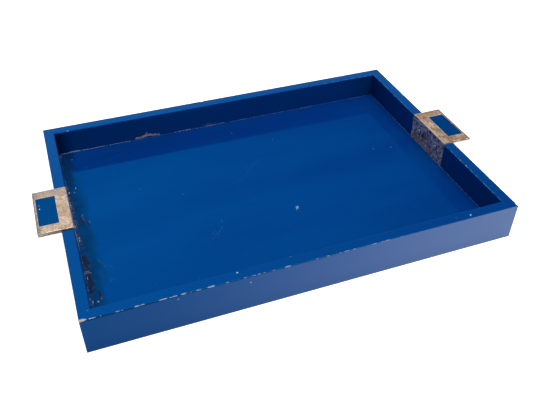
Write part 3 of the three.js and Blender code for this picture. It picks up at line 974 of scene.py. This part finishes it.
def handle_rings(seed, front):
    """The right handle's rings and its material's values. front is the sign of y at its worn end."""
    ends = [0, 0.12 * MM, 0.35 * MM, 0.7 * MM]
    lip = [POCKET_HALF - 0.01 * MM, POCKET_HALF + 0.04 * MM, POCKET_HALF + 0.25 * MM]
    half = [HALF_HANDLE - e for e in ends] + list(spaced(HALF_HANDLE - ends[-1], lip[2], 0.5 * MM)[1:-1])
    half += lip[::-1]
    inner = list(spaced(POCKET_HALF, -POCKET_HALF, 0.5 * MM)[1:-1])
    stations = np.array([-y for y in half] + inner[::-1] + half[::-1])
    y, x = np.meshgrid(stations, HANDLE_OUTLINE[:, 0], indexing="ij")
    z = HANDLE_OUTLINE[:, 1] + 0 * y
    points = np.stack([x, y, z], -1)
    on_top = z > PLATE_TOP_Z - 0.01 * MM
    pocket = on_top & (x > POCKET[0] - 0.01 * MM) & (x < POCKET[1] + 0.01 * MM) & (np.abs(y) < POCKET_HALF)
    on_leg = x < LEG_X + 0.6 * MM
    against_rail = (z < RIM_Z + 2 * RIM_GAP) & (x < TRAY_LENGTH / 2 + 2 * RIM_GAP) & ~on_leg
    leg = on_leg * (1 - step(z, PLATE_TOP_Z - 2.0 * MM, PLATE_TOP_Z - 0.7 * MM))
    from_end = HALF_HANDLE - np.abs(y)
    pitted = rough_lumps(points, 5 * MM, seed, 4)
    pit = step(pitted, 0.36, 0.5) * leg
    for pit_y, pit_z, radius in LEG_PITS:
        away = np.hypot(y - pit_y * MM, z - pit_z * MM) / (radius * MM)
        pit = np.maximum(pit, step(1 - away + 0.9 * pitted, 0.05, 0.45) * on_leg)
    for screw_y in (-SCREW_Y, SCREW_Y):
        away = np.hypot(y - screw_y, z - (RIM_Z - SCREW_DROP)) / MM
        ring = step(away, 2.6, 3.3) * (1 - step(away + 1.2 * pitted, 3.9, 5.0))
        pit = np.maximum(pit, 0.85 * ring * on_leg)
    depth = 0.25 * MM * (1 - step(from_end, 0, 0.5 * MM)) + 0.16 * MM * pit + 0.04 * MM * (1 + pitted)
    depth = np.where(pocket | against_rail, 0, depth)
    normals = inward_normals(HANDLE_OUTLINE, -1)
    x = x + depth * normals[:, 0]
    z = z + depth * normals[:, 1]
    z = np.where(pocket, POCKET_FLOOR_Z, z)
    bitten = step(rough_lumps(points * [1, 0, 1.6], 6 * MM, seed + 3), 0.0, 0.55)
    worn_end = (y * front > 0) * (1 - leg)
    bite = 0.15 * (1 - leg) + 1.25 * bitten * worn_end
    bite = bite * MM * (1 - step(from_end, 0.1 * MM, 2 * MM))
    y = y - np.sign(y) * bite
    # Painted highlights: bright bands along the bend, round the pocket's lip and down the leg's rear edge.
    over_bend = np.hypot(x - LEG_X, z - PLATE_TOP_Z + 0.4 * MM)
    bend = np.exp(-((over_bend / (1.2 * MM)) ** 2))
    lip_x = np.abs(x - sum(POCKET) / 2) - (POCKET[1] - POCKET[0]) / 2
    lip_near = np.abs(np.maximum(lip_x, np.abs(y) - POCKET_HALF))
    lip = 0.45 * (1 - step(lip_near, 0.2 * MM, 0.9 * MM)) * on_top
    patchy = 0.6 + 0.6 * rough_lumps(points, 4 * MM, seed + 11)
    leg_edge = 0.35 * (1 - step(from_end, 0.6 * MM, 3.0 * MM)) * on_leg * (y * front < 0)
    leg_edge = leg_edge * step(z, 22 * MM, 36 * MM)
    bright = np.clip(np.maximum(np.maximum(0.6 * bend, lip), leg_edge) * patchy, 0, 1)
    bright = np.maximum(bright, bitten * worn_end * (1 - step(from_end, 0.8 * MM, 2.2 * MM)))
    rim = np.minimum(from_end, GRIP_END_X - x)
    tarnish_and_gap_shade = (1 - step(rim, 0.3 * MM, 0.9 * MM)) * (1 - leg) * step(patchy, 0.25, 0.6)
    # Painted shade: a dark ring on the plate at the pocket's edge, where the gap round the inlay lies in
    # shade.
    inlay_gap_shade = 1 - step(np.abs(lip_near), 0.0, 0.3 * MM)
    tarnish_and_gap_shade = np.maximum(tarnish_and_gap_shade, 0.5 * inlay_gap_shade * on_top) * (1 - bright)
    tarnish_and_gap_shade = np.where(pocket, 0.9, tarnish_and_gap_shade)
    # Painted highlight: the right grip's front end face is painted fully bright.
    side = (from_end < 0.2 * MM) & (z < PLATE_TOP_Z - 0.8 * MM) & (y * front > 0) & (leg < 0.5)
    if front < 0:
        bright, tarnish_and_gap_shade = np.where(side, 1.0, bright), np.where(side, 0.0, tarnish_and_gap_shade)
    return np.stack([x, y, z], -1), {"leg": leg, "pit": pit, "bright": bright, "tarnish_and_gap_shade": tarnish_and_gap_shade}


def make_handle(side, seed):
    """The right handle as built, or turned half round for the left."""
    rings, values = handle_rings(seed, -1 if side == "right" else 1)
    piece = skin(f"{side}_handle_plated", rings, values, sharp=50)
    if side == "left":
        piece.data.transform(Matrix.Rotation(math.pi, 4, "Z"))
    return finish_piece(piece, PLATING, [f"{side}_handle_bracket"])


make_handle("left", 21)
make_handle("right", 58)

# %% [markdown]
# ## The inlays
# Each inlay is a small lacquered plate dropped in the grip's pocket. Its edges are eased, and its middle
# is crowned a few hundredths of a millimetre, because thick lacquer draws back from an edge as it dries.

# %% Material: inlay lacquer


def inlay_material():
    """The inlays' lacquer, with dust and a few rubbed spots."""
    material, shader, place = new_material("inlay_lacquer")
    paint = blend(fuzz(place, 60.0, 3.0), rgb(2, 46, 104), rgb(2, 52, 110))
    specks = dust(place, 160.0, 0.9, 0.08)
    paint = cover(paint, specks, rgb(190, 215, 235), 0.7)
    dot = marks(place, on_plate((-269.1, 5.8, -269.1, 5.6, 0.8, 0.1)), wander=0.2, grit_scale=300.0)
    feed(shader["Base Color"], blend(dot, paint, rgb(225, 238, 250)))
    feed(shader["Roughness"], between(fuzz(place, 50.0, 3.0), 0.3, 0.7, 0.08, 0.16))
    blue_shine(shader, FLOOR_SHINE_IOR)
    relief(shader, fuzz(place, 900.0, 2.0), 0.03, 0.0005)
    return material


INLAY_FINISH = inlay_material()

# %% Build the inlays


def make_inlay(side):
    """A plate with eased edges and a slightly crowned top."""
    low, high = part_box(f"{side}_handle_inlay")
    middle = (low + high) / 2
    half_x, half_y = (high.x - low.x) / 2, (high.y - low.y) / 2
    ease = 0.35 * MM
    steps = [0, 0.3, 1.0, 1.9]
    across = [-half_x + ease * s for s in steps] + list(spaced(-half_x + 1 * MM, half_x - 1 * MM, 1 * MM))
    across += [half_x - ease * s for s in steps[::-1]]
    along = [-half_y + ease * s for s in steps] + list(spaced(-half_y + 1 * MM, half_y - 1 * MM, 1 * MM))
    along += [half_y - ease * s for s in steps[::-1]]
    y, x = np.meshgrid(along, across, indexing="ij")
    inset = np.minimum(half_x - np.abs(x), half_y - np.abs(y))
    crown = 0.04 * MM * (1 - (x / half_x) ** 2) * (1 - (y / half_y) ** 2)
    drop = ease * (1 - np.sqrt(1 - (1 - np.clip(inset / ease, 0, 1)) ** 2))
    top = np.stack([x + middle.x, y + middle.y, high.z - drop - 0.04 * MM + crown], -1)
    foot_x = np.array([half_x, -half_x]) + middle.x
    flat = np.zeros(len(along))
    under = [np.stack([flat + x_end, np.array(along) + middle.y, flat + low.z], -1) for x_end in foot_x]
    piece = skin(f"{side}_inlay_lacquered", np.concatenate([top, np.stack(under, 1)], 1))
    return finish_piece(piece, INLAY_FINISH, [f"{side}_handle_inlay"])


for side in ("left", "right"):
    make_inlay(side)

# %% [markdown]
# ## The screws
# Each leg is held by two small zinc-plated cross-head screws. The head is a dome with the cross pressed
# into it: a polar grid of points, whose height drops where the cross is. The shank goes through the leg
# into the rail.

# %% Material: zinc screws


def zinc_material():
    """Zinc with the bluish cast of its passivation, with painted shade in the cross and a dirty rim."""
    material, shader, place = new_material("zinc_screw")
    (recess,) = from_mesh(place, "recess")
    cloud = fuzz(place, 900.0, 4.0)
    metal = blend(between(cloud, 0.4, 0.65), rgb(206, 232, 246), rgb(120, 142, 160))
    feed(shader["Base Color"], blend(times(recess, 0.9), metal, rgb(26, 26, 30)))
    shader["Metallic"].default_value = 0.7
    feed(shader["Roughness"], between(cloud, 0.3, 0.7, 0.32, 0.5))
    relief(shader, cloud, 0.3, 0.0001)
    return material


ZINC = zinc_material()

# %% Build the screws
HEAD_R, HEAD_H, SHANK_R, CORE_R = 3.2 * MM, 1.6 * MM, 1.75 * MM, 1.25 * MM
CROSS_ARM, CROSS_HALF, CROSS_DEPTH = 1.9 * MM, 0.42 * MM, 1.0 * MM


def make_screw(side, end, turn):
    """A pan-head screw along X, with its head towards the middle of the tray."""
    low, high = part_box(f"{side}_handle_screw_{end}")
    middle = (low + high) / 2
    outwards = 1 if side == "right" else -1
    head_x = low.x if side == "right" else high.x
    radii = [*spaced(0.04 * MM, 2.2 * MM, 0.14 * MM), *spaced(2.2 * MM, HEAD_R, 0.12 * MM)[1:]]
    turns = np.linspace(0, 2 * math.pi, 64, endpoint=False)
    r, a = np.meshgrid(radii, turns, indexing="ij")
    u, v = r * np.cos(a + turn), r * np.sin(a + turn)
    dome = HEAD_H * (1 - np.sqrt(np.clip(1 - (r / HEAD_R) ** 2.6, 0, 1)))
    narrow = [1 - step(np.abs(w), CROSS_HALF * 0.8, CROSS_HALF * 1.1) for w in (u, v)]
    short = [1 - step(np.abs(w), CROSS_ARM * 0.9, CROSS_ARM) for w in (u, v)]
    slot = np.maximum(narrow[0] * short[1], narrow[1] * short[0])
    depth = dome + slot * CROSS_DEPTH * (1 - 0.45 * r / CROSS_ARM)
    shank = [(SHANK_R, HEAD_H + 0.02 * MM)]
    length = high.x - low.x
    thread = np.arange(HEAD_H + 2.5 * MM, length - 1.2 * MM, 0.75 * MM)
    shank += [(CORE_R if k % 2 else SHANK_R, at) for k, at in enumerate(thread)]
    shank += [(0.15 * MM, length)]
    rings = np.stack([depth, r * np.cos(a), r * np.sin(a)], -1)
    tail = [np.stack([at + 0 * turns, q * np.cos(turns), q * np.sin(turns)], -1) for q, at in shank]
    rings = np.concatenate([rings, np.stack(tail)])
    # Painted shade in the cross, and a dirty ring round the head's rim.
    slot_shade_and_rim_dirt = np.maximum(slot, 0.8 * step(r / HEAD_R, 0.72, 0.95))
    recess = np.concatenate([slot_shade_and_rim_dirt, np.zeros((len(shank), len(turns)))])
    rings = rings * [outwards, 1, 1] + [head_x, middle.y, middle.z]
    piece = skin(f"{side}_{end}_screw_zinc", rings, {"recess": recess}, sharp=40)
    return finish_piece(piece, ZINC, [f"{side}_handle_screw_{end}"])


for k, (side, end) in enumerate(itertools.product(("left", "right"), ("front", "rear"))):
    make_screw(side, end, 0.4 + 0.5 * k)

# %% [markdown]
# ## Plywood tongues
# A tongue of plywood crosses each mitre inside the wood. Its shape is a plain slip in real life too, so
# the CAD piece stays and only gets its finish.

# %% Material: plywood tongues


def plywood_material():
    """Birch plywood, with darker lines where its layers show."""
    material, shader, place = new_material("raw_plywood")
    grain = fuzz(place, 400.0, 4.0, stretch=(1.0, 1.0, 0.1))
    feed(shader["Base Color"], blend(grain, rgb(176, 140, 98), rgb(224, 196, 152)))
    feed(shader["Roughness"], between(grain, 0.3, 0.7, 0.65, 0.85))
    relief(shader, grain, 0.2, 0.0003)
    return material


PLYWOOD = plywood_material()
for name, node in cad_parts.items():
    if name.startswith("corner_spline"):
        node.data.materials.clear()
        node.data.materials.append(PLYWOOD)

# %% [markdown]
# ## The studio
# The tray stands on a pale sheet under soft light from above, with more from the right. The sheet glows:
# the camera sees it plain white, and to the rest of the scene it is a soft light, brighter at the right,
# whose shine the tray's front face picks up. A glossy thing shows whatever surrounds it, so the
# surroundings matter as much as the lamps: the sky of this studio is bright behind the tray on the left
# and darker towards the viewer, which is what gives the floor its sheen.

# %% The pale sheet
SHEET_GLOW_LEFT, SHEET_GLOW_RIGHT = 0.4, 0.78


def make_sheet():
    """The pale sheet that the tray stands on. It isn't part of the tray."""
    mesh = bpy.data.meshes.new("pale_sheet")
    reach = 4.0
    corners = [(-reach, -reach, 0), (reach, -reach, 0), (reach, reach, 0), (-reach, reach, 0)]
    mesh.from_pydata(corners, [], [(0, 1, 2, 3)])
    sheet = bpy.data.objects.new("pale_sheet", mesh)
    sheet.location.z = -0.0001
    bpy.context.scene.collection.objects.link(sheet)
    material, shader, place = new_material("pale_sheet")
    x, _, _ = split(place)
    seen = add(tree_of(place), "ShaderNodeLightPath").outputs["Is Camera Ray"]
    glow = between(x, -0.33, 0.22, SHEET_GLOW_LEFT, SHEET_GLOW_RIGHT)
    shader["Base Color"].default_value = rgb(205, 205, 205)
    shader["Roughness"].default_value = 0.9
    shader["Specular IOR Level"].default_value = 0.0
    shader["Emission Color"].default_value = (1.0, 1.0, 1.0, 1.0)
    feed(shader["Emission Strength"], most(seen, glow))
    mesh.materials.append(material)
    return sheet


make_sheet()

# %% The studio's sky


SKY_EVEN = 0.06
SKY_LOBES = [  # direction, strength, sharpness
    ((0.0, 0.0, 1.0), 0.15, 2.0),
    ((-0.11, 0.73, 0.67), 0.95, 8.0),
    ((0.45, -0.7, 0.55), 0.75, 3.0),
]
BACKDROP_BRIGHT = 0.5
BACKDROP_TOP = 0.53  # the sine of the height that it reaches


def make_sky():
    """A soft sky with a bright side, made of one even light and a few broad lobes."""
    world = bpy.data.worlds.new("studio")
    bpy.context.scene.world = world
    world.use_nodes = True
    tree = world.node_tree
    background = next(n for n in tree.nodes if n.type == "BACKGROUND")
    direction = tree.nodes.new("ShaderNodeTexCoord").outputs["Generated"]
    total = SKY_EVEN
    for towards, strength, sharpness in SKY_LOBES:
        unit = Vector(towards).normalized()
        facing = most(vector("DOT_PRODUCT", direction, unit), 0.0)
        total = calc("ADD", total, times(calc("POWER", facing, sharpness), strength))
    _, y, z = split(direction)
    backdrop = between(z, BACKDROP_TOP, BACKDROP_TOP - 0.05, 0.0, BACKDROP_BRIGHT)
    total = calc("ADD", total, times(backdrop, between(y, 0.2, 0.5)))
    feed(background.inputs["Strength"], total)
    background.inputs["Color"].default_value = (1.0, 1.0, 1.0, 1.0)
    return world


make_sky()


def make_softbox(name, at, look_at, size, power):
    """A square area light aimed at a point."""
    data = bpy.data.lights.new(name, "AREA")
    data.shape = "SQUARE"
    data.size = size
    data.energy = power
    lamp = bpy.data.objects.new(name, data)
    lamp.location = at
    lamp.rotation_mode = "QUATERNION"
    lamp.rotation_quaternion = (Vector(look_at) - Vector(at)).to_track_quat("-Z", "Y")
    bpy.context.scene.collection.objects.link(lamp)
    return lamp


make_softbox("overhead_softbox", (0.2, -0.2, 1.6), (0, 0, 0), 1.2, 21)
bpy.context.scene.view_settings.view_transform = "Standard"
print("studio ready")
